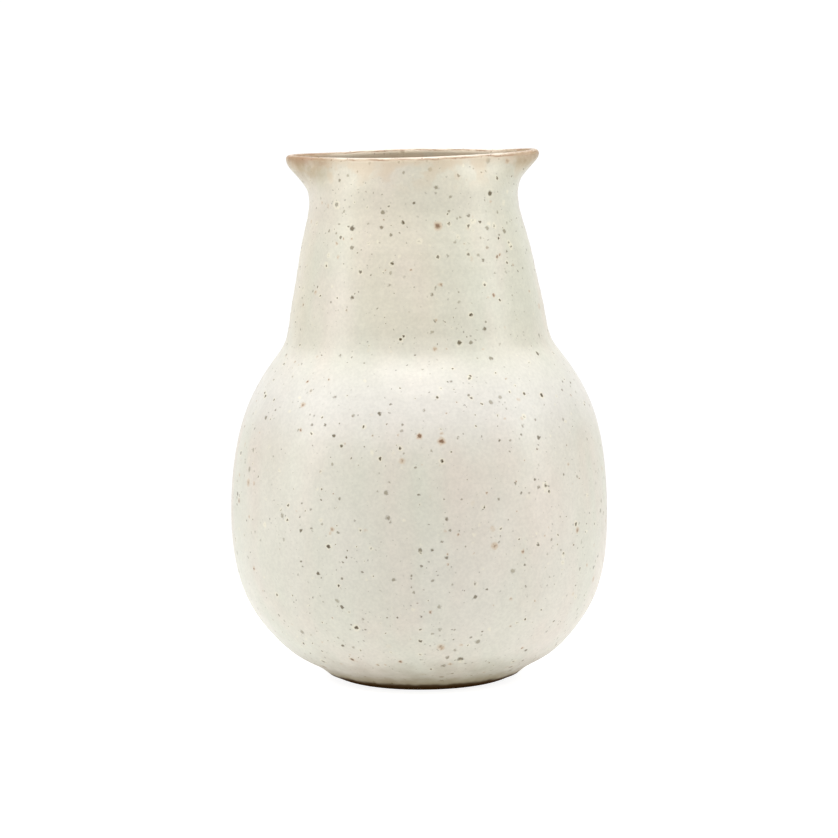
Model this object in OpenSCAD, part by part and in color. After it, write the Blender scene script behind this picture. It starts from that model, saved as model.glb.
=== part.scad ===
// Two-spouted stoneware vase: fired clay sections luted together, an outer glaze coat and an
// inner liner glaze. Millimetres, +Z up, origin at the centre of the foot's resting plane.

/* [Belly] */
// Widest diameter of the belly
belly_d = 165.2; // [157:0.2:172]
// Height of the widest point
belly_z = 71; // [68:1:74]
// Diameter where the shoulder meets the neck
seam_d = 117.4; // [113:0.2:121]
// Height where the shoulder meets the neck
seam_z = 148.5; // [146:0.5:151]

/* [Neck and mouth] */
// Diameter at the throat, the narrowest place
throat_d = 91; // [88:0.2:94]
// Height of the throat
throat_z = 211.5; // [209:0.5:213]
// Height of the lip at the front and back
lip_z = 231; // [229.5:0.5:233]
// Outside diameter of the lip at the front and back
mouth_d = 90; // [87:0.5:93]
// How far each spout reaches past the round mouth
spout_reach = 10.1; // [7:0.1:13]
// How tightly the spouts are pinched, higher being narrower
spout_pinch = 16; // [10:1:24]
// How much higher than the rest of the lip the spout tips stand
spout_rise = 0.9; // [0:0.1:2]
// How far the lip draws in on both sides of each spout
flank_draw = 3; // [0:0.5:4]

/* [Foot] */
// Outside diameter of the flat ring that rests on the table
rest_d = 69; // [66:0.5:72]
// Width of that ring
rest_w = 6.5; // [5:0.5:8]
// Diameter where the bare bevel ends and the glaze begins
foot_d = 84; // [82:0.5:86]
// Height where the bare bevel ends and the glaze begins
bare_h = 2.8; // [2.4:0.1:3.2]
// Height of the foot ring, which is also the depth of the well inside it
foot_h = 3.5; // [3.3:0.1:4]

/* [Wall] */
// Thickness of the clay wall near the foot
foot_wall = 6.4; // [5.5:0.1:7.5]
// Thickness of the clay wall at the throat
throat_wall = 4.4; // [4:0.1:5]
// Thickness of the clay lip
lip_wall = 3; // [2.6:0.1:3.4]
// Thickness of the floor
floor_t = 7; // [6:0.5:9]
// Thickness of the outer glaze
glaze_t = 0.5; // [0.4:0.05:0.7]
// Thickness of the liner glaze
liner_t = 0.4; // [0.3:0.05:0.6]

/* [Hidden] */
$fn = 120;

belly_r = belly_d / 2;
seam_r = seam_d / 2;
throat_r = throat_d / 2;
mouth_r = mouth_d / 2;
rest_r = rest_d / 2;
well_r = rest_r - rest_w;
foot_r = foot_d / 2;
floor_z = foot_h + floor_t;

// Steps of the bevel, and how late it turns up from the table
bevel_steps = 8;
bevel_power = 1.5;
// Radius of the round key that locates one clay section on the next
key_r = 1;
// Gap between the key and its groove under the mouth
key_gap = 0.1;
// Steps of the outline between two of its stations
outline_steps = 5;
// Steps around the mouth, up its flare, over its lip and round the groove under it
mouth_steps = 72;
flare_steps = 8;
lip_steps = 6;
groove_steps = 4;
// How late the mouth starts to flare above the throat
flare_power = 1.4;

bare_clay = [0.24, 0.19, 0.15];
body_clay = [0.30, 0.24, 0.19];
cream = [0.88, 0.86, 0.80];
lip_tone = [0.84, 0.78, 0.72];
liner_tone = [0.80, 0.77, 0.70];

// ---- Outline of the finished, glazed surface ----

// Stations [radius, height] from the foot to the throat; the first and last only steer the ends
stations = [
    [foot_r - 0.4, bare_h - 3],
    [foot_r + glaze_t, bare_h],
    [foot_r + 4.2, bare_h + 2.9],
    [0.664 * belly_r, 0.149 * belly_z],
    [0.814 * belly_r, 0.306 * belly_z],
    [0.919 * belly_r, 0.493 * belly_z],
    [0.979 * belly_r, 0.718 * belly_z],
    [belly_r, belly_z],
    [0.989 * belly_r, 1.3 * belly_z],
    [seam_r + 20.2, seam_z - 39],
    [seam_r + 16, seam_z - 26],
    [seam_r + 10.1, seam_z - 14.7],
    [seam_r + 3.5, seam_z - 5.3],
    [seam_r, seam_z],
    [seam_r - 1.9, seam_z + 6],
    [seam_r - 3.5, seam_z + 15.5],
    [seam_r - 6.1, seam_z + 28.5],
    [throat_r + 4.7, throat_z - 22],
    [throat_r + 1.8, throat_z - 10.5],
    [throat_r + 0.5, throat_z - 5],
    [throat_r, throat_z],
    [throat_r + 0.5, throat_z + 5]
];
seam_station = 13;

// Height of the rounded corner between the floor and the inside wall
corner_h = 2.5;

function spline_point(a, b, c, d, t) =
    b + (c - a) * t / 2
    + (2 * a - 5 * b + 4 * c - d) * t * t / 2
    + (3 * b - a - 3 * c + d) * t * t * t / 2;

// Smooth curve through all but the first and last of the stations p
function spline(p, steps) = concat(
    [for (i = [1 : len(p) - 3], k = [0 : steps - 1])
        spline_point(p[i - 1], p[i], p[i + 1], p[i + 2], k / steps)],
    [p[len(p) - 2]]
);

outline = spline(stations, outline_steps);
throat_i = len(outline) - 1;
seam_i = (seam_station - 1) * outline_steps;

// Unit normal that points out of the vase at point i of the outline, level at the throat
function outward(i) =
    let (d = outline[min(i + 1, throat_i)] - outline[max(i - 1, 0)])
    i == throat_i ? [1, 0] : [d[1], -d[0]] / norm(d);

// Thickness of the clay wall at height z
function wall_at(z) = foot_wall + (throat_wall - foot_wall) * z / throat_z;

// The four surfaces, each as [depth under the finished one, share of the clay wall]
on_glaze = [0, 0];
on_clay = [glaze_t, 0];
in_clay = [glaze_t, 1];
in_liner = [glaze_t + liner_t, 1];

// Points of a surface between points a and b of the outline
function surface_points(a, b, surface) = [
    for (i = [a : b])
        outline[i] - outward(i) * (surface[0] + surface[1] * wall_at(outline[i][1]))
];

function reversed(p) = [for (i = [len(p) - 1 : -1 : 0]) p[i]];

// First point of the outline whose clay inside lies above the floor's corner
wall_i = [for (i = [0 : seam_i]) if (surface_points(i, i, in_clay)[0][1] > floor_z + corner_h) i][0];

// The inside of the belly: along the floor, raised by rise, and up the wall to the seam
function inside_points(surface, rise) =
    let (wall = surface_points(wall_i, seam_i, surface))
    concat([[0, floor_z + rise], [wall[0][0] - 2 * corner_h, floor_z + rise]], wall);

// Bare bevel from the resting ring up to the glaze line
function bevel() = [
    for (k = [0 : bevel_steps], t = k / bevel_steps)
        [rest_r + (foot_r - rest_r) * t, bare_h * pow(t, bevel_power)]
];

// Centres of the round keys, in the middle of the clay where two sections meet
foot_key = [(well_r + foot_r) / 2, foot_h];
seam_key = outline[seam_i] - outward(seam_i) * (glaze_t + wall_at(seam_z) / 2);
throat_key = [throat_r - glaze_t - throat_wall / 2, throat_z];

// ---- Half sections ----

module key(at) {
    translate(at) circle(key_r, $fn = 48);
}

module below(z) {
    translate([-1, -belly_r]) square([2 * belly_r, z + belly_r]);
}

// Wall or coat between two surfaces, from point a to point b of the outline
module wall_section(a, b, outer, inner) {
    polygon(concat(surface_points(a, b, outer), reversed(surface_points(a, b, inner))));
}

// Clay of the foot, floor and belly before the foot ring is parted from it
module base_section() {
    difference() {
        polygon(concat(
            [[0, 0]],
            bevel(),
            surface_points(0, seam_i, on_clay),
            reversed(inside_points(in_clay, 0))
        ));
        translate([-1, -1]) square([well_r + 1, foot_h + 1]);
    }
}

// ---- Clay ----

module clay_foot() {
    color(bare_clay)
    rotate_extrude() {
        intersection() {
            base_section();
            below(foot_h);
        }
        key(foot_key);
    }
}

module clay_belly() {
    color(body_clay)
    rotate_extrude() {
        difference() {
            base_section();
            below(foot_h);
            key(foot_key);
        }
        key(seam_key);
    }
}

module clay_neck() {
    color(body_clay)
    rotate_extrude() {
        difference() {
            wall_section(seam_i, throat_i, on_clay, in_clay);
            key(seam_key);
        }
        key(throat_key);
    }
}

// ---- Mouth: a ring of sections that change with the angle ----

// Outside radius of the finished lip at angle a; the spouts point along -X and +X
function lip_plan(a) =
    mouth_r - flank_draw * pow(sin(2 * a), 2) + spout_reach * pow(abs(cos(a)), spout_pinch);

function lip_top(a) = lip_z + spout_rise * pow(abs(cos(a)), spout_pinch);

// S-curve from 0 to 1
function eased(t) = t * t * (3 - 2 * t);

// Half the thickness of the finished lip, which is also the rounding over its top
lip_r = lip_wall / 2 + glaze_t;
throat_total = glaze_t + throat_wall + liner_t;

// One section of the mouth: up the outside, over the lip and down the inside.
// coat is 0 on the glazed surface and 1 on the clay under it.
function mouth_section(a, coat) =
    let (
        crown = lip_top(a) - lip_r,
        spread = lip_plan(a) - throat_r,
        rise = function (t) throat_z + (crown - throat_z) * t,
        outer = function (t) throat_r + spread * eased(pow(t, flare_power)),
        inner = function (t) outer(t) - throat_total - (2 * lip_r - throat_total) * t,
        liner = function (t) liner_t + (glaze_t - liner_t) * t,
        round_r = lip_r - coat * glaze_t
    )
    concat(
        [for (k = [0 : flare_steps - 1], t = k / flare_steps) [outer(t) - coat * glaze_t, rise(t)]],
        [for (k = [0 : lip_steps], b = 180 * k / lip_steps)
            [lip_plan(a) - lip_r + round_r * cos(b), crown + round_r * sin(b)]],
        [for (k = [flare_steps - 1 : -1 : 0], t = k / flare_steps) [inner(t) + coat * liner(t), rise(t)]]
    );

// Groove under the clay mouth that takes the neck's key, from the inside to the outside
function groove_section() =
    let (r = (key_r + key_gap) / cos(90 / groove_steps))
    [for (k = [0 : groove_steps], b = 180 - 180 * k / groove_steps) throat_key + r * [cos(b), sin(b)]];

// Closed ring through one loop of [radius, height] points for each angle
module ring(loops, flipped) {
    n = len(loops);
    m = len(loops[0]);
    points = [
        for (i = [0 : n - 1], q = loops[i])
            [q[0] * cos(360 * i / n), q[0] * sin(360 * i / n), q[1]]
    ];
    corners = [
        for (i = [0 : n - 1], k = [0 : m - 1])
            [i * m + k, i * m + (k + 1) % m, ((i + 1) % n) * m + (k + 1) % m, ((i + 1) % n) * m + k]
    ];
    faces = [
        for (c = corners, half = [[c[0], c[1], c[2]], [c[0], c[2], c[3]]])
            flipped ? reversed(half) : half
    ];
    polyhedron(points, faces);
}

mouth_angles = [for (i = [0 : mouth_steps - 1]) 360 * i / mouth_steps];

module clay_mouth() {
    color(body_clay)
    ring([for (a = mouth_angles) concat(mouth_section(a, 1), groove_section())], false);
}

// ---- Glaze ----

module glaze_belly() {
    color(cream)
    rotate_extrude() wall_section(0, seam_i, on_glaze, on_clay);
}

module glaze_neck() {
    color(cream)
    rotate_extrude() wall_section(seam_i, throat_i, on_glaze, on_clay);
}

module glaze_mouth() {
    color(lip_tone)
    ring([for (a = mouth_angles) concat(mouth_section(a, 1), reversed(mouth_section(a, 0)))], true);
}

module liner_belly() {
    color(liner_tone)
    rotate_extrude()
    polygon(concat(inside_points(in_clay, 0), reversed(inside_points(in_liner, liner_t))));
}

module liner_neck() {
    color(liner_tone)
    rotate_extrude() wall_section(seam_i, throat_i, in_clay, in_liner);
}

clay_foot();
clay_belly();
clay_neck();
clay_mouth();
glaze_belly();
glaze_neck();
glaze_mouth();
liner_belly();
liner_neck();
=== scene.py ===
"""Looks for the two-spouted stoneware vase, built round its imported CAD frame. Metres, +Z up."""

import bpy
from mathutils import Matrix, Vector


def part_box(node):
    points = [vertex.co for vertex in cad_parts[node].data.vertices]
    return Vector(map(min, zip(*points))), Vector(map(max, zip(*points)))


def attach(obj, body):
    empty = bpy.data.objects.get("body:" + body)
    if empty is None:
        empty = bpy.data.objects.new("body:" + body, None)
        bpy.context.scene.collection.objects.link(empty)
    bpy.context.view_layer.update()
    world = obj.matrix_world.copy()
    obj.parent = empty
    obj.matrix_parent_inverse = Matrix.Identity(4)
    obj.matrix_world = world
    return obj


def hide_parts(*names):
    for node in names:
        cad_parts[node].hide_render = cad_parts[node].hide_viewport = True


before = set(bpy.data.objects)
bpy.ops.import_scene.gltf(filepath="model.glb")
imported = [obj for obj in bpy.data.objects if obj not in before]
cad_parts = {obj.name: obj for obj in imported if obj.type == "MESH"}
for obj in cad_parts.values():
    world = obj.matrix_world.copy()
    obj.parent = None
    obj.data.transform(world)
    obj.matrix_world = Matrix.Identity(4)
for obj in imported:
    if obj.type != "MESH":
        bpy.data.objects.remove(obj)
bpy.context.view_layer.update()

import math

import bpy
import numpy as np
from mathutils import Matrix, Vector

MM = 0.001
TWO_PI = 2 * math.pi


# ---- Sizes from the frame ----

def half_width(node, axis):
    low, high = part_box(node)
    return (high[axis] - low[axis]) / 2


KEY_R = 1 * MM  # radius of the round key on top of the CAD foot ring

belly_r = half_width("glaze_belly", 0)
bare_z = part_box("glaze_belly")[0][2]
seam_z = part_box("glaze_belly")[1][2]
throat_r = half_width("glaze_mouth", 1)
throat_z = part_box("glaze_mouth")[0][2]
spout_r = half_width("glaze_mouth", 0)
spout_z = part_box("glaze_mouth")[1][2]
foot_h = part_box("clay_foot")[1][2] - KEY_R
floor_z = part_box("liner_belly")[0][2]

# Places on the turned form that the boxes don't give
belly_z = 71 * MM  # where the belly is widest
seam_r = 58.7 * MM  # at the crease between shoulder and neck
foot_r = 42 * MM  # at the glaze line, on the clay
rest_r = 34.5 * MM  # outside of the resting ring
well_r = 28 * MM  # and its inside

# Thicknesses of the clay wall and of its glaze coats
FOOT_WALL = 6.4 * MM
THROAT_WALL = 4.4 * MM
GLAZE = 0.5 * MM
LINER = 0.4 * MM

# The mouth
LIP_R = 2 * MM  # half the lip's thickness, and the rounding over its top
LIP_Z = 231 * MM  # height of the lip between the spouts, without the swell
LEFT_RISE = 0.4 * MM
RIGHT_RISE = 1.1 * MM
FRONT_RISE = 0.65 * MM  # an extra swell of the lip, a little right of the front
FRONT_SIDE = math.radians(-68)
SPOUT_PINCH = 16
FLANK_DRAW = 3 * MM
MOUTH_R = 45 * MM
MOUTH_SHIFT = -0.2 * MM
FLARE_POWER = 1.42  # how late the mouth flares above the throat
FLARE_UNEVEN = 0.17  # how much later on the right, and earlier on the left

# The hand-thrown form
LEAN = math.radians(0.56)  # the pot leans towards -X above its foot
NOD = math.radians(0.38)  # and a little towards -Y
TRUE_FOOT = 30 * MM  # the unevenness grows from the table up to this height
RING_PITCH = 6.5 * MM  # throwing rings
RING_DEPTH = 0.05 * MM
DENT = 0.16 * MM  # broad dents from the potter's hands
OVAL = 0.0022  # share of the radius by which the plan is out of round
SIDE_SET = -0.25 * MM
SIDE_BOW = 0.45 * MM  # how far the axis bows across the view on its way up
DEPTH_BOW = 0.35 * MM  # and along it

# Mesh density
COLUMNS = 320
ROW = 1.6 * MM
FLARE_ROWS = 14
LIP_ROWS = 13
FLOOR_ROWS = 12
BEVEL_ROWS = 14
EDGE_ROWS = 7

ANGLES = np.arange(COLUMNS) * TWO_PI / COLUMNS


# ---- Half section: matching rows of the glazed skin and of the clay bond under it ----

def eased(t):
    """S-curve from 0 to 1."""
    t = np.clip(t, 0, 1)
    return t * t * (3 - 2 * t)


def belly_stations():
    """Points (radius, height) of the glazed outline from glaze line to throat, and the seam's number."""
    belly = [(0.665, 0.149), (0.814, 0.306), (0.919, 0.493), (0.979, 0.718), (1, 1), (0.989, 1.3)]
    shoulder = [(20.2, -39), (16, -26), (10.1, -14.7), (3.5, -5.3), (0, 0),
                (-1.9, 6), (-3.5, 15.5), (-6.1, 28.5)]
    throat = [(4.7, -22), (1.8, -10.5), (0.5, -5), (0, 0)]
    points = [(foot_r + GLAZE, bare_z), (foot_r + 4.2 * MM, bare_z + 2.9 * MM)]
    points += [(r * belly_r, z * belly_z) for r, z in belly]
    seam = len(points) + shoulder.index((0, 0))
    points += [(seam_r + r * MM, seam_z + z * MM) for r, z in shoulder]
    points += [(throat_r + r * MM, throat_z + z * MM) for r, z in throat]
    return np.array(points), seam


def spline_rows(points, mark):
    """Rows about ROW apart on a cubic spline through points, upright at its end, and point mark's row."""
    step = np.diff(points, axis=0)
    chord = np.hypot(*step.T)
    slope = step / chord[:, None]
    count = len(points)
    system = np.eye(count)
    right = np.zeros((count, 2))
    for i in range(1, count - 1):
        system[i, i - 1:i + 2] = chord[i - 1], 2 * (chord[i - 1] + chord[i]), chord[i]
        right[i] = 6 * (slope[i] - slope[i - 1])
    system[-1, -2:] = chord[-1], 2 * chord[-1]
    right[-1] = 6 * (np.array([0, 1]) - slope[-1])
    bend = np.linalg.solve(system, right)
    rows = []
    marked = 0
    for i, length in enumerate(chord):
        if i == mark:
            marked = len(rows)
        for t in np.arange(0, 1, 1 / max(2, round(length / ROW))):
            u = 1 - t
            sag = ((u ** 3 - u) * bend[i] + (t ** 3 - t) * bend[i + 1]) * length ** 2 / 6
            rows.append(u * points[i] + t * points[i + 1] + sag)
    return np.array(rows + [points[-1]]), marked


outline, SEAM = spline_rows(*belly_stations())
tangent = np.gradient(outline, axis=0)
tangent[-1] = 0, 1
outward = np.stack([tangent[:, 1], -tangent[:, 0]], axis=1) / np.hypot(*tangent.T)[:, None]
wall = FOOT_WALL + (THROAT_WALL - FOOT_WALL) * outline[:, 1] / throat_z


def under(depth, share):
    """The outline moved in by depth and by a share of the clay wall."""
    return outline - outward * (depth + share * wall)[:, None]


CORNER = 6 * MM  # height of the rounded corner between the floor and the inside wall
WALL_START = int(np.argmax(under(GLAZE, 1)[:, 1] > floor_z + CORNER + LINER))


def inside(depth, rise):
    """Rows down the inside from just under the throat, round the corner of the floor, to its centre."""
    side = under(depth, 1)[WALL_START:-1][::-1]
    foot = side[-1]
    turn = np.linspace(0, 1, FLOOR_ROWS)[1:, None]
    bend = np.array([foot[0] - 1.2 * CORNER, floor_z + rise])
    end = np.array([foot[0] - 3.2 * CORNER, floor_z + rise])
    curve = (1 - turn) ** 2 * foot + 2 * turn * (1 - turn) * bend + turn ** 2 * end
    across = np.linspace(1, 0, FLOOR_ROWS)[1:, None] * [end[0], 0] + [0, floor_z + rise]
    return np.concatenate([side, curve, across])


def spout(angle):
    """1 along either spout, next to nothing away from them."""
    return abs(math.cos(angle)) ** SPOUT_PINCH


def lip_radius(angle):
    flank = FLANK_DRAW * math.sin(2 * angle) ** 2
    return MOUTH_R - flank + (spout_r - MOUTH_R) * spout(angle)


def lip_height(angle):
    rise = RIGHT_RISE if math.cos(angle) > 0 else LEFT_RISE
    swell = max(0, math.cos(angle - FRONT_SIDE)) ** 2
    return LIP_Z + rise * spout(angle) + FRONT_RISE * swell * (1 - spout(angle))


def mouth_rows(angle, layer):
    """Rows from the throat up the mouth's outside, over the lip and down inside; layer 1 is the bond."""
    crown = lip_height(angle) - LIP_R
    spread = lip_radius(angle) - throat_r
    total = GLAZE + THROAT_WALL + LINER
    flare = np.arange(FLARE_ROWS) / FLARE_ROWS
    height = throat_z + (crown - throat_z) * flare
    outer = throat_r + spread * eased(flare ** (FLARE_POWER + FLARE_UNEVEN * math.cos(angle)))
    inner = outer - total - (2 * LIP_R - total) * flare
    liner = LINER + (GLAZE - LINER) * flare
    turn = np.linspace(0, math.pi, LIP_ROWS)
    round_r = LIP_R - layer * GLAZE
    lip_x = lip_radius(angle) - LIP_R + round_r * np.cos(turn)
    lip = np.stack([lip_x, crown + round_r * np.sin(turn)], axis=1)
    up = np.stack([outer - layer * GLAZE, height], axis=1)
    down = np.stack([inner + layer * liner, height], axis=1)[::-1]
    return np.concatenate([up, lip, down])


# ---- Grids of points round the pot ----

def thrown(r, z, angle):
    """Points at radius, height and angle on the slightly uneven, leaning pot."""
    up = eased(z / TRUE_FOOT)
    above_belly = np.clip((z - 100 * MM) / (60 * MM), 0.2, 1)
    ring = RING_DEPTH * np.sin(TWO_PI * z / RING_PITCH + angle) * above_belly
    broad = DENT * np.sin(3 * angle + 31 * z) * np.sin(47 * z + 1.3)
    oval = OVAL * r * np.cos(2 * angle - 0.9)
    r = np.where(r > 10 * MM, r + (ring + broad + oval) * up, r)
    x = r * np.cos(angle)
    y = r * np.sin(angle)
    bow_x = SIDE_SET - SIDE_BOW * np.cos(TWO_PI * (z - 72 * MM) / (150 * MM))
    bow_y = DEPTH_BOW * np.sin(TWO_PI * z / (170 * MM) + 1)
    drift = MOUTH_SHIFT * np.clip((z - throat_z) / (LIP_Z - throat_z), 0, 1) ** 2
    lean_x = math.tan(LEAN)
    lean_y = math.tan(NOD)
    return np.stack([x + (bow_x + drift - z * lean_x) * up,
                     y + (bow_y - z * lean_y) * up,
                     z + (x * lean_x + y * lean_y) * up], axis=-1)


def whole_section(layer):
    """One grid from the glaze line up, over the lip and down inside to the floor's centre."""
    outside = under(layer * GLAZE, 0)[:-1]
    down = inside(GLAZE, 0) if layer else inside(GLAZE + LINER, LINER)
    loops = np.stack([np.concatenate([outside, mouth_rows(a, layer), down]) for a in ANGLES])
    return thrown(loops[..., 0], loops[..., 1], ANGLES[:, None])


def normals_of(grid):
    """Unit normals, to the right of the grid's rows; a row that shrinks to a point takes the next one's."""
    around = np.roll(grid, -1, axis=0) - np.roll(grid, 1, axis=0)
    normal = np.cross(around, np.gradient(grid, axis=1))
    length = np.linalg.norm(normal, axis=-1, keepdims=True)
    normal = normal / np.maximum(length, 1e-15)
    for end, neighbour in ((0, 1), (-1, -2)):
        if length[:, end].max() < 1e-12:
            normal[:, end] = normal[:, neighbour].mean(axis=0)
    return normal


def smooth(grid):
    return grid, normals_of(grid)


def turned(rows):
    """A smooth grid from rows that are the same at every angle."""
    rows = np.array(rows)
    return smooth(thrown(rows[None, :, 0], rows[None, :, 1], ANGLES[:, None]))


skin = smooth(whole_section(0))
bond = smooth(whole_section(1))

# Rows where one piece gives way to the next
THROAT = len(outline) - 1
CREST = THROAT + FLARE_ROWS + LIP_ROWS // 2
LIP_END = THROAT + 2 * FLARE_ROWS + LIP_ROWS - 1
SEAM_IN = LIP_END + THROAT - SEAM
CENTRE = skin[0].shape[1] - 1


def part(grid, first, last):
    """Rows first to last of a grid, or backwards and facing the other way."""
    points, normals = grid
    if first < last:
        return points[:, first:last + 1], normals[:, first:last + 1]
    return points[:, last:first + 1][:, ::-1], -normals[:, last:first + 1][:, ::-1]


def coat(first, last):
    """A glaze coat's outside and its side on the clay."""
    return [part(skin, first, last), part(bond, last, first)]


# ---- Solids ----

def numbered(points):
    """The points in use, and each grid place's number among them: a row shrunk to a pole is one point."""
    ids = np.arange(points.shape[0] * points.shape[1]).reshape(points.shape[:2])
    pole = np.ptp(points, axis=0).max(axis=-1) < 1e-9
    ids[:, pole] = ids[:1, pole]
    used, ids = np.unique(ids, return_inverse=True)
    return used, ids.reshape(points.shape[:2])


def solid(node, material, grids):
    """A closed piece for a CAD node, through grids laid end to end and joined by flat bridges."""
    points = np.concatenate([p for p, _ in grids], axis=1)
    normals = np.concatenate([n for _, n in grids], axis=1).reshape(-1, 3).tolist()
    used, ids = numbered(points)
    beside = np.roll(ids, -1, axis=0)
    quads = np.stack([ids, beside, np.roll(beside, -1, axis=1), np.roll(ids, -1, axis=1)], axis=-1)
    bridges = set(np.cumsum([p.shape[1] for p, _ in grids]) - 1)
    faces = []
    shading = []
    corner_normals = []
    for row in range(points.shape[1]):
        for quad in quads[:, row].tolist():
            face = list(dict.fromkeys(quad))  # at a pole two corners of the quad are one point
            if len(face) > 2:
                faces.append(face)
                shading.append(row not in bridges)
                corner_normals += [normals[used[v]] if shading[-1] else (0, 0, 0) for v in face]
    mesh = bpy.data.meshes.new(node)
    mesh.from_pydata(points.reshape(-1, 3)[used].tolist(), [], faces)
    mesh.polygons.foreach_set("use_smooth", shading)
    mesh.normals_split_custom_set(corner_normals)
    mesh.materials.append(material)
    piece = bpy.data.objects.new(node + "_thrown", mesh)
    bpy.context.scene.collection.objects.link(piece)
    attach(piece, "root")
    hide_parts(node)
    return piece


# ---- Building materials and light from nodes ----

def srgb(red, green, blue):
    """A colour given as it looks, 0 to 255, as the linear one that a shader takes."""
    return tuple(((c / 255 + 0.055) / 1.055) ** 2.4 if c > 10 else c / 255 / 12.92
                 for c in (red, green, blue)) + (1,)


class Nodes:
    """A node tree under construction: most methods add a node and give the socket with its result."""

    def __init__(self, tree):
        self.tree = tree

    def node(self, kind, inputs=None, **settings):
        made = self.tree.nodes.new(kind)
        for key, value in settings.items():
            setattr(made, key, value)
        for key, value in (inputs or {}).items():
            self.feed(made.inputs[key], value)
        return made

    def feed(self, socket, value):
        """Links a socket to another one, or sets it to a plain value."""
        if isinstance(value, bpy.types.NodeSocket):
            self.tree.links.new(value, socket)
        else:
            socket.default_value = value

    def math(self, operation, a, b=0.0):
        return self.node("ShaderNodeMath", {0: a, 1: b}, operation=operation).outputs[0]

    def ramp(self, value, low, high, start=0.0, end=1.0):
        """Eased from start, where value is low, to end, where it is high."""
        inputs = {"Value": value, "From Min": low, "From Max": high, "To Min": start, "To Max": end}
        return self.node("ShaderNodeMapRange", inputs, interpolation_type="SMOOTHSTEP").outputs[0]

    def band(self, value, start, middle, end):
        """1 at middle, eased to 0 at start and end."""
        return self.math("MULTIPLY", self.ramp(value, start, middle), self.ramp(value, middle, end, 1, 0))

    def mix(self, share, a, b, blend="MIX"):
        inputs = {0: share, 6: a, 7: b}
        return self.node("ShaderNodeMix", inputs, data_type="RGBA", blend_type=blend).outputs[2]


class Look(Nodes):
    """A material, with its shader and the place of each point on the piece."""

    def __init__(self, name):
        self.material = bpy.data.materials.new(name)
        self.material.use_nodes = True
        super().__init__(self.material.node_tree)
        self.shader = self.tree.nodes["Principled BSDF"]
        self.place = self.node("ShaderNodeTexCoord").outputs["Object"]

    def shade(self, name, value):
        """Sets or links an input of the shader."""
        self.feed(self.shader.inputs[name], value)

    def along(self, axis):
        """Each point's place along one axis."""
        return self.node("ShaderNodeSeparateXYZ", {0: self.place}).outputs[axis]

    def moved(self, offset, scale=(1, 1, 1), at=None):
        inputs = {"Vector": at or self.place, "Location": offset, "Scale": scale}
        return self.node("ShaderNodeMapping", inputs).outputs[0]

    def noise(self, size, detail, at=None):
        """Soft noise from 0 to 1 with features about size across."""
        inputs = {"Vector": at or self.place, "Scale": 1 / size, "Detail": detail, "Roughness": 0.55}
        return self.node("ShaderNodeTexNoise", inputs).outputs["Fac"]

    def vector(self, operation, inputs):
        return self.node("ShaderNodeVectorMath", inputs, operation=operation).outputs[0]

    def ragged(self, size, reach):
        """The place of each point, pushed about by up to reach, so that spots get uneven edges."""
        push = self.node("ShaderNodeTexNoise", {"Vector": self.place, "Scale": 1 / size, "Detail": 1.0})
        centred = self.vector("SUBTRACT", {0: push.outputs["Color"], 1: (0.5, 0.5, 0.5)})
        scaled = self.vector("SCALE", {0: centred, 3: 4 * reach})
        return self.vector("ADD", {0: self.place, 1: scaled})

    def specks(self, cell, smallest, largest, seed, at, crowd=1.0):
        """Spots, one at most in each cell and most of them small.

        Gives the depth into the spot, 0 at its edge and 1 in its middle, and two random shares.
        """
        placed = self.moved((seed, 2 * seed, 3 * seed), at=at)
        cells = self.node("ShaderNodeTexVoronoi", {"Vector": placed, "Scale": 1 / cell, "Randomness": 1.0})
        chance = self.node("ShaderNodeSeparateColor", {"Color": cells.outputs["Color"]}).outputs
        squared = self.math("MULTIPLY", chance[0], chance[0])
        radius = self.ramp(squared, 0, 1, smallest / cell, largest / cell)
        share = self.math("DIVIDE", cells.outputs["Distance"], self.math("MULTIPLY", radius, crowd))
        return self.math("SUBTRACT", 1.0, share), chance[1], chance[2]

    def bump(self, height, distance):
        inputs = {"Height": height, "Distance": distance, "Strength": 1.0}
        self.shade("Normal", self.node("ShaderNodeBump", inputs).outputs[0])


# ---- Materials ----

CREAM = srgb(204, 200, 188)
WARM_CREAM = srgb(202, 196, 179)
GREENISH = srgb(197, 197, 182)
PINKISH = srgb(206, 195, 183)
# Whiter glaze on the shoulder: partly real pooling, partly a painted highlight
POOLED_AND_HIGHLIGHT = srgb(204, 201, 194)
DARK_SPECK = srgb(64, 46, 14)
OLIVE_SPECK = srgb(102, 88, 42)
RUST_SPECK = srgb(112, 78, 50)
# Brown of thin glaze near the foot, also used as painted contact shade
THIN_GLAZE_AND_SHADE = srgb(114, 98, 60)
# Near-black at the glaze's edge: thin glaze over dark clay, with painted contact shade
LAST_GLAZE_AND_SHADE = srgb(54, 36, 16)
BLUSH = srgb(200, 182, 156)
# Painted highlight along the top of the lip
PAINTED_LIP_HIGHLIGHT = srgb(230, 218, 204)
# Painted shade inside the mouth
PAINTED_MOUTH_SHADE = srgb(180, 150, 120)
BROWN_LINE = srgb(140, 106, 78)
FRECKLE = srgb(118, 84, 58)
RED_TIP = srgb(146, 106, 76)
# Broad brown at the spout tips: partly glaze colour, partly painted shade
BROWN_TIP_AND_SHADE = srgb(150, 130, 92)
PALE_HALO = srgb(222, 216, 194)
RUST_HALO = srgb(188, 164, 134)
CLAY_SPOT = srgb(40, 30, 24)

CLOUD_SCALE = (-1, 1, 0.35)  # clouds are mirrored left to right and almost three times as tall as wide

# Sizes of iron speck: cell, smallest and largest radius in mm, seed, darkness and halo
IRON = (
    (7.4, 0.65, 1.5, 0.11, 1.0, 0.6),
    (5.6, 0.5, 1.15, 0.37, 0.95, 0.6),
    (4.2, 0.4, 0.85, 0.71, 0.8, 0.5),
    (2.9, 0.28, 0.52, 0.53, 0.5, 0.0),
)


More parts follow.
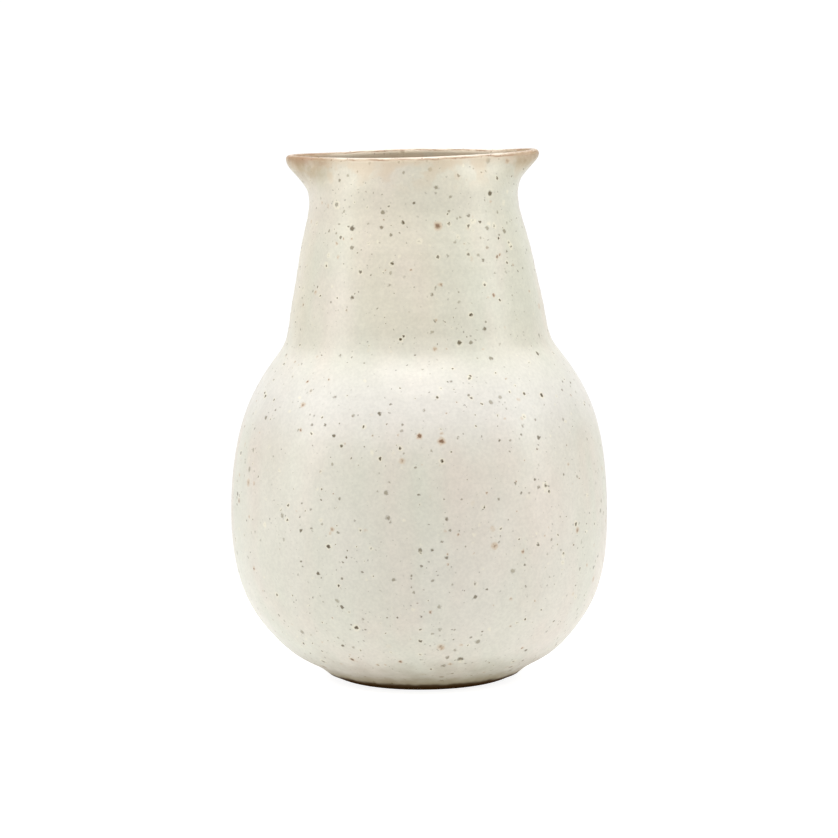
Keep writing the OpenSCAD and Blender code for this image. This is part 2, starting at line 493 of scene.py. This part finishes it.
def glaze_base(look):
    """Cream with greenish and pinkish clouds, whiter on the shoulder, partly from glaze pooling there and
    partly a painted highlight, and a fine grain.
    """
    height = look.along("Z")
    colour = look.mix(look.ramp(height, seam_z - 10 * MM, seam_z + 15 * MM), CREAM, WARM_CREAM)
    cloud = look.noise(40 * MM, 2, look.moved((4, 7, 5), CLOUD_SCALE))
    colour = look.mix(look.ramp(cloud, 0.35, 0.65, 0, 0.8), colour, GREENISH)
    blush = look.noise(26 * MM, 2, look.moved((8, 3, 5), CLOUD_SCALE))
    colour = look.mix(look.ramp(blush, 0.42, 0.72, 0, 0.6), colour, PINKISH)
    # Painted highlight, with some real pooling: a whiter band below the shoulder's crease
    pooled_and_highlight = look.band(height, seam_z - 46 * MM, seam_z - 20 * MM, seam_z + 4 * MM)
    colour = look.mix(look.math("MULTIPLY", pooled_and_highlight, 0.75), colour, POOLED_AND_HIGHLIGHT)
    grain = look.ramp(look.noise(1.3 * MM, 3), 0.3, 0.7, 0.955, 1.035)
    mottle = look.ramp(look.noise(6 * MM, 3), 0.3, 0.7, 0.975, 1.02)
    both = look.math("MULTIPLY", grain, mottle)
    grey = look.node("ShaderNodeCombineColor", {0: both, 1: both, 2: both}).outputs[0]
    return look.mix(1.0, colour, grey, "MULTIPLY")


def crowding(look):
    """Relative size of the specks: larger on the neck, near the foot and in drifts."""
    height = look.along("Z")
    neck = look.ramp(height, seam_z - 15 * MM, throat_z, 0, 0.14)
    foot = look.ramp(height, 10 * MM, 60 * MM, 0.14, 0)
    drift = look.ramp(look.noise(24 * MM, 2), 0.35, 0.65, 0.78, 1.14)
    return look.math("ADD", drift, look.math("ADD", neck, foot))


def speckled(look, colour, strength=1.0):
    """Iron specks of several sizes, some with pale or rusty halos, melted into the glaze."""
    at = look.ragged(1.2 * MM, 0.34 * MM)
    crowd = crowding(look)
    for cell, smallest, largest, seed, dark, halo in IRON:
        depth, tone, chance = look.specks(cell * MM, smallest * MM, largest * MM, seed, at, crowd)
        rust = look.ramp(chance, 0.88, 0.94)
        if halo:
            ring = look.ramp(depth, -0.6, 0.1, 0, halo * strength)
            ringed = look.math("MAXIMUM", rust, look.ramp(tone, 0.15, 0.35, 1, 0))
            tint = look.mix(rust, PALE_HALO, RUST_HALO)
            colour = look.mix(look.math("MULTIPLY", ring, ringed), colour, tint)
        spot = look.mix(rust, look.mix(tone, DARK_SPECK, OLIVE_SPECK), RUST_SPECK)
        fade = look.ramp(tone, 0, 1, dark * strength, 0.5 * dark * strength)
        core = look.math("MULTIPLY", look.ramp(depth, 0, 0.55), fade)
        colour = look.mix(core, colour, spot)
    return colour


def gloss(look, roughness):
    """A soft sheen over faint ripples and throwing rings."""
    rough = look.ramp(look.noise(4 * MM, 3), 0.3, 0.7, roughness - 0.04, roughness + 0.05)
    look.shade("Roughness", rough)
    ripple = look.noise(3.2 * MM, 2)
    rings = look.noise(2.4 * MM, 2, look.moved((0, 0, 0), (0.06, 0.06, 1)))
    look.bump(look.math("ADD", ripple, rings), 0.045 * MM)


def outer_glaze():
    """The cream glaze, thin, browner and less shiny where it runs out above the foot, with painted contact
    shade darkening it further towards the glaze line.
    """
    look = Look("outer_glaze")
    colour = speckled(look, glaze_base(look))
    height = look.along("Z")
    run = look.noise(9 * MM, 2)
    edge = look.math("ADD", height, look.ramp(run, 0.3, 0.7, -1.2 * MM, 1.2 * MM))
    # Painted contact shade, browned like thin glaze: darker up to 18 mm above the glaze line
    colour = look.mix(look.ramp(edge, bare_z, bare_z + 18 * MM, 0.7, 0), colour, THIN_GLAZE_AND_SHADE)
    colour = look.mix(look.ramp(edge, bare_z - 1 * MM, bare_z + 6 * MM, 0.25, 0), colour, THIN_GLAZE_AND_SHADE)
    line = look.math("ADD", height, look.ramp(run, 0.3, 0.7, -0.3 * MM, 0.3 * MM))
    # Near-black last 2 mm of glaze: thin glaze over dark clay and painted contact shade
    last = look.ramp(line, bare_z + 0.3 * MM, bare_z + 2 * MM, 0.95, 0)
    look.shade("Base Color", look.mix(last, colour, LAST_GLAZE_AND_SHADE))
    look.shade("Specular IOR Level", look.ramp(line, bare_z, bare_z + 16 * MM, 0, 0.5))
    gloss(look, 0.36)
    return look.material


def broken_lip(look, colour, out, far):
    """A painted highlight on top of the lip, a broken brown line on either side, patchy blush beyond,
    painted shade inside.
    """
    patches = look.ramp(look.noise(9 * MM, 3, look.moved((1, 2, 3))), 0.4, 0.62, 4 * MM, 11 * MM)
    blush = look.ramp(look.math("DIVIDE", far, patches), 0.2, 1.7, 0.7, 0)
    colour = look.mix(blush, colour, BLUSH)
    # Painted shade down the inside of the mouth, from 2 mm inside the lip's top
    colour = look.mix(look.ramp(out, -6 * MM, -2 * MM, 0.5, 0), colour, PAINTED_MOUTH_SHADE)
    # Painted highlight along the top of the lip
    colour = look.mix(look.ramp(far, 0.7 * MM, 1.5 * MM, 0.85, 0), colour, PAINTED_LIP_HIGHLIGHT)
    broken = look.ramp(look.noise(10 * MM, 4, look.moved((4, 1, 2))), 0.35, 0.6, 0.3, 0.9)
    for place in (1.9 * MM, -1.5 * MM):
        line = look.band(out, place - 0.6 * MM, place, place + 0.8 * MM)
        colour = look.mix(look.math("MULTIPLY", line, broken), colour, BROWN_LINE)
    return colour


def brown_tips(look, colour, far):
    """Mottled browns towards the tips of the spouts, broad and dull under narrow and red; the broad dull
    brown is partly the glaze's colour and partly painted shade.
    """
    sideways = look.ramp(look.math("ABSOLUTE", look.along("X")), spout_r - 23 * MM, spout_r - 9 * MM)
    for tint, size, reach, share in ((BROWN_TIP_AND_SHADE, 9 * MM, 18 * MM, 0.75), (RED_TIP, 4 * MM, 8 * MM, 0.6)):
        patch = look.math("MULTIPLY", sideways, look.ramp(look.noise(size, 3), 0.35, 0.65, 0.35, 1))
        fade = look.ramp(far, 0.2 * reach, reach, share, 0)
        colour = look.mix(look.math("MULTIPLY", patch, fade), colour, tint)
    return colour


def freckled(look, colour, far):
    """Fine brown dots close to the lip."""
    at = look.ragged(0.8 * MM, 0.2 * MM)
    depth, _, chance = look.specks(1.4 * MM, 0.25 * MM, 0.6 * MM, 0.91, at)
    near = look.math("MULTIPLY", look.ramp(far, 1.2 * MM, 4.5 * MM, 0.85, 0), look.ramp(chance, 0.4, 0.7))
    dots = look.math("MULTIPLY", look.ramp(depth, 0, 0.5), near)
    return look.mix(dots, colour, FRECKLE)


def lip_glaze():
    """The same glaze, broken over the lip, browned at the spouts and freckled."""
    look = Look("lip_glaze")
    colour = speckled(look, glaze_base(look))
    distance = look.node("ShaderNodeAttribute", attribute_name="from_lip").outputs["Fac"]
    wander = look.ramp(look.noise(8 * MM, 3), 0.3, 0.7, -0.35 * MM, 0.35 * MM)
    out = look.math("ADD", distance, wander)
    far = look.math("ABSOLUTE", out)
    colour = broken_lip(look, colour, out, far)
    colour = brown_tips(look, colour, far)
    look.shade("Base Color", freckled(look, colour, far))
    gloss(look, 0.36)
    return look.material


def liner_glaze():
    """The glaze inside, with fainter specks."""
    look = Look("liner_glaze")
    look.shade("Base Color", speckled(look, glaze_base(look), 0.6))
    gloss(look, 0.4)
    return look.material


def clay(name, dark, light, shine):
    """Bare fired stoneware: grainy, with iron spots."""
    look = Look(name)
    grain = look.noise(0.9 * MM, 4)
    colour = look.mix(look.ramp(grain, 0.3, 0.7), dark, light)
    depth, _, _ = look.specks(2.2 * MM, 0.15 * MM, 0.5 * MM, 0.5, look.place)
    look.shade("Base Color", look.mix(look.ramp(depth, 0, 0.6, 0, 0.7), colour, CLAY_SPOT))
    look.shade("Roughness", look.ramp(grain, 0.3, 0.7, 0.75, 0.9))
    look.shade("Specular IOR Level", shine)
    look.bump(look.math("ADD", grain, look.noise(0.35 * MM, 2)), 0.12 * MM)
    return look.material


OUTER = outer_glaze()
LIP = lip_glaze()
INNER = liner_glaze()
# Bare clay of the foot, darker than the body clay with painted contact shade
BARE_CLAY_AND_SHADE = clay("bare_clay", srgb(34, 20, 6), srgb(56, 38, 18), 0)
BODY = clay("body_clay", srgb(74, 58, 42), srgb(104, 84, 64), 0.15)


# ---- The pieces ----

def rolled_edge():
    """Half-round end of the glaze at its line above the foot."""
    lower = bond[0][:, 0]
    upper = skin[0][:, 0]
    middle = (lower + upper) / 2
    reach = (upper - lower) / 2
    back = skin[0][:, 0] - skin[0][:, 1]
    back *= np.linalg.norm(reach, axis=-1, keepdims=True) / np.linalg.norm(back, axis=-1, keepdims=True)
    turns = np.linspace(-math.pi / 2, math.pi / 2, EDGE_ROWS)[1:-1]
    return smooth(np.stack([middle + reach * math.sin(t) + back * math.cos(t) for t in turns], axis=1))


def foot_rows():
    """Rows from the top of the well down its wall, along the resting ring and up the bare bevel."""
    edge = 0.5 * MM
    well = [(well_r, foot_h), (well_r, 2 * edge), (well_r, edge), (well_r + 0.3 * edge, 0.3 * edge)]
    ring = [(well_r + edge, 0), (well_r + 2 * edge, 0), (rest_r - 2 * edge, 0)]
    rise = [row / BEVEL_ROWS for row in range(BEVEL_ROWS)]
    bevel = [(rest_r + (foot_r - rest_r) * t, bare_z * t ** 1.5) for t in rise]
    return well + ring + bevel


def mark_lip(piece):
    """Stores each point's distance along the surface from the top of the lip, less than zero inside it."""
    points = skin[0][:, THROAT:LIP_END + 1]
    steps = np.linalg.norm(np.diff(points, axis=1, prepend=points[:, :1]), axis=-1)
    path = np.cumsum(steps, axis=1)
    distance = path[:, CREST - THROAT, None] - path
    both = np.concatenate([distance, distance[:, ::-1]], axis=1)
    piece.data.attributes.new("from_lip", "FLOAT", "POINT").data.foreach_set("value", both.reshape(-1))


underside = turned([(0, foot_h), (0.5 * well_r, foot_h), (well_r, foot_h)])

solid("glaze_belly", OUTER, [part(skin, 0, SEAM), part(bond, SEAM, 0), rolled_edge()])
solid("glaze_neck", OUTER, coat(SEAM, THROAT))
mark_lip(solid("glaze_mouth", LIP, coat(THROAT, LIP_END)))
solid("liner_neck", INNER, coat(LIP_END, SEAM_IN))
solid("liner_belly", INNER, coat(SEAM_IN, CENTRE))
solid("clay_mouth", BODY, [part(bond, THROAT, LIP_END)])
solid("clay_neck", BODY, [part(bond, SEAM, THROAT), part(bond, LIP_END, SEAM_IN)])
solid("clay_belly", BODY, [part(bond, 0, SEAM), part(bond, SEAM_IN, CENTRE), underside])
solid("clay_foot", BARE_CLAY_AND_SHADE, [turned(foot_rows()), part(bond, 0, 1)])


# ---- Studio ----

WHITE = (1, 1, 1, 1)
FLOOR_R = 14
FLOOR_GREY = (0.35, 0.35, 0.35, 1)
FLOOR_GLOW = 0.9
FADE_START = 0.1  # how far behind the vase the floor starts to turn into backdrop
FADE_END = 0.5
BACKDROP = 1.05  # brightness of the white behind the vase
RING_LIGHT = 1.2  # brightness of the ring above the dark walls
TOP_LIGHT = 0.66
ZENITH_SHARE = 0.3  # share of the top's brightness that is left straight overhead


def white_floor():
    """A wide pale floor that glows, so shadows stay faint, and turns into the backdrop behind the vase."""
    bpy.ops.mesh.primitive_circle_add(vertices=96, radius=FLOOR_R, fill_type="NGON")
    floor = bpy.context.object
    floor.name = "floor"
    look = Look("floor")
    look.shade("Base Color", FLOOR_GREY)
    look.shade("Roughness", 0.8)
    look.shade("Specular IOR Level", 0.1)
    look.shade("Emission Color", WHITE)
    look.shade("Emission Strength", FLOOR_GLOW)
    behind = look.ramp(look.along("Y"), FADE_START, FADE_END)
    glow = look.node("ShaderNodeEmission", {"Color": WHITE, "Strength": BACKDROP})
    blend = look.node("ShaderNodeMixShader", {0: behind, 1: look.shader.outputs[0], 2: glow.outputs[0]})
    look.feed(look.tree.nodes["Material Output"].inputs["Surface"], blend.outputs[0])
    floor.data.materials.append(look.material)


def surround():
    """White behind up to 35 degrees; elsewhere dark low down under a bright ring; a dimmer top."""
    world = bpy.data.worlds.new("surround")
    world.use_nodes = True
    bpy.context.scene.world = world
    sky = Nodes(world.node_tree)
    direction = sky.node("ShaderNodeTexCoord").outputs["Generated"]
    towards = sky.node("ShaderNodeSeparateXYZ", {0: direction}).outputs
    behind = sky.ramp(towards["Y"], 0.6, 0.8)
    elsewhere = sky.ramp(towards["Y"], 0.6, 0.8, 1, 0)
    ring_low = sky.ramp(towards["Z"], 0.32, 0.48, 0, RING_LIGHT)
    ring_high = sky.ramp(towards["Z"], 0.57, 0.73, 1, 0)
    top_low = sky.ramp(towards["Z"], 0.57, 0.73, 0, TOP_LIGHT)
    top_high = sky.ramp(towards["Z"], 0.8, 0.96, 1, ZENITH_SHARE)
    backdrop = sky.math("MULTIPLY", behind, sky.ramp(towards["Z"], 0.5, 0.66, BACKDROP, 0))
    ring = sky.math("MULTIPLY", elsewhere, sky.math("MULTIPLY", ring_low, ring_high))
    top = sky.math("MULTIPLY", top_low, top_high)
    background = sky.tree.nodes["Background"]
    sky.feed(background.inputs["Color"], WHITE)
    sky.feed(background.inputs["Strength"], sky.math("ADD", backdrop, sky.math("ADD", ring, top)))


def softbox(name, azimuth, elevation, distance, size, power):
    """A soft light aimed at the vase, azimuth degrees round to the camera's right."""
    light = bpy.data.lights.new(name, "AREA")
    light.shape = "RECTANGLE"
    light.size, light.size_y = size
    light.energy = power
    a = math.radians(azimuth)
    e = math.radians(elevation)
    aim = Vector((math.sin(a) * math.cos(e), -math.cos(a) * math.cos(e), math.sin(e)))
    lamp = bpy.data.objects.new(name, light)
    lamp.location = Vector((0, 0, spout_z / 2)) + aim * distance
    lamp.rotation_euler = aim.to_track_quat("Z", "Y").to_euler()
    lamp.visible_camera = False
    bpy.context.scene.collection.objects.link(lamp)


white_floor()
surround()
softbox("top", 0, 88, 1.1, (0.6, 0.6), 5)
softbox("top_front", 0, 72, 1.1, (0.8, 0.5), 5.3)
softbox("left_high", -90, 48, 1.2, (1, 0.35), 1.85)
softbox("right_high", 90, 48, 1.2, (1, 0.35), 1.5)
softbox("left_strip", -75, 12, 1.3, (0.3, 1.1), 5)
softbox("right_strip", 75, 12, 1.3, (0.3, 1.1), 4.4)


# ---- Camera ----

ASIDE = -1.26 * MM  # to the left of the vase's axis
DISTANCE = 1.65  # in front of it
HEIGHT = 0.3058
PITCH_DOWN = math.radians(6.62)
ROLL = math.radians(0.5)
SENSOR = 36  # mm, as is the lens
LENS = 162.2835


def photo_camera():
    data = bpy.data.cameras.new("camera")
    data.sensor_width = SENSOR
    data.lens = LENS
    camera = bpy.data.objects.new("camera", data)
    turn = Matrix.Rotation(math.pi / 2 - PITCH_DOWN, 4, "X") @ Matrix.Rotation(-ROLL, 4, "Z")
    camera.matrix_world = Matrix.Translation((ASIDE, -DISTANCE, HEIGHT)) @ turn
    bpy.context.scene.collection.objects.link(camera)
    bpy.context.scene.camera = camera


photo_camera()
bpy.context.scene.view_settings.view_transform = "Standard"
